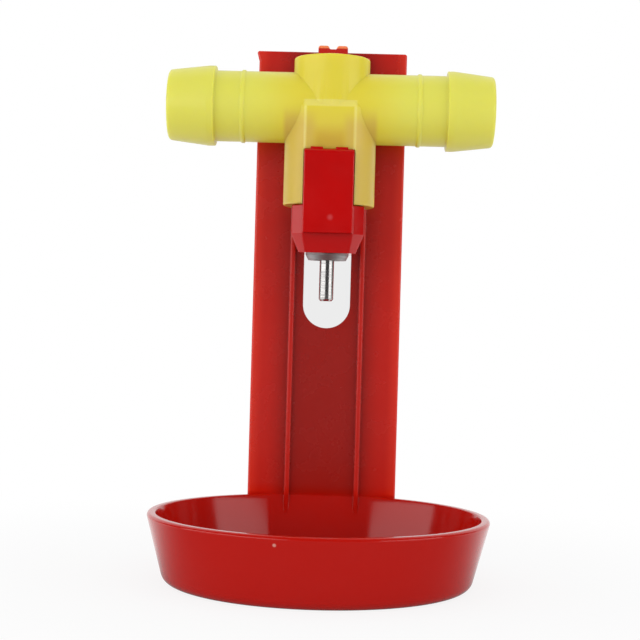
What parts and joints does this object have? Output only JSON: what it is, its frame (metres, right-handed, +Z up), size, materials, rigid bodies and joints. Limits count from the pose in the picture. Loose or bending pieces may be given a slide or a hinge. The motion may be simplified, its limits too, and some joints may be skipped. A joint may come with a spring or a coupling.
{
  "type": "poultry drinking cup",
  "caption": "Shallow drip cup with a tall slotted back plate, hung on a barbed hose tee whose nipple valve has a steel trigger pin above the cup.",
  "frame": {"origin": "middle of the cup's flat underside", "axes": "+Z up, the back plate at +Y and the open side at -Y, the hose tee along X"},
  "size_m": [0.0548, 0.0544, 0.0888],
  "materials": {
    "red_plastic": "glossy moulded plastic, opaque red",
    "yellow_plastic": "satin moulded plastic, slightly translucent yellow",
    "black_rubber": "matt black rubber",
    "stainless_steel": "turned stainless steel"
  },
  "bodies": {
    "stand": {"drip_cup": "red_plastic", "hose_tee": "yellow_plastic", "nipple_housing": "red_plastic", "housing_seal": "black_rubber", "valve_body": "stainless_steel", "upper_seat": "stainless_steel"},
    "valve": {"valve_stem": "stainless_steel"},
    "trigger": {"trigger_pin": "stainless_steel"}
  },
  "joints": [
    {"name": "valve_lift", "type": "slide", "parent": "stand", "child": "valve", "axis": [0, 0, 1], "range_m": [0, 0.001]},
    {"name": "trigger_tilt", "type": "hinge", "parent": "valve", "child": "trigger", "pos_m": [0, 0.0166, 0.0554], "axis": [0, 1, 0], "range_deg": [-10, 10]}
  ]
}
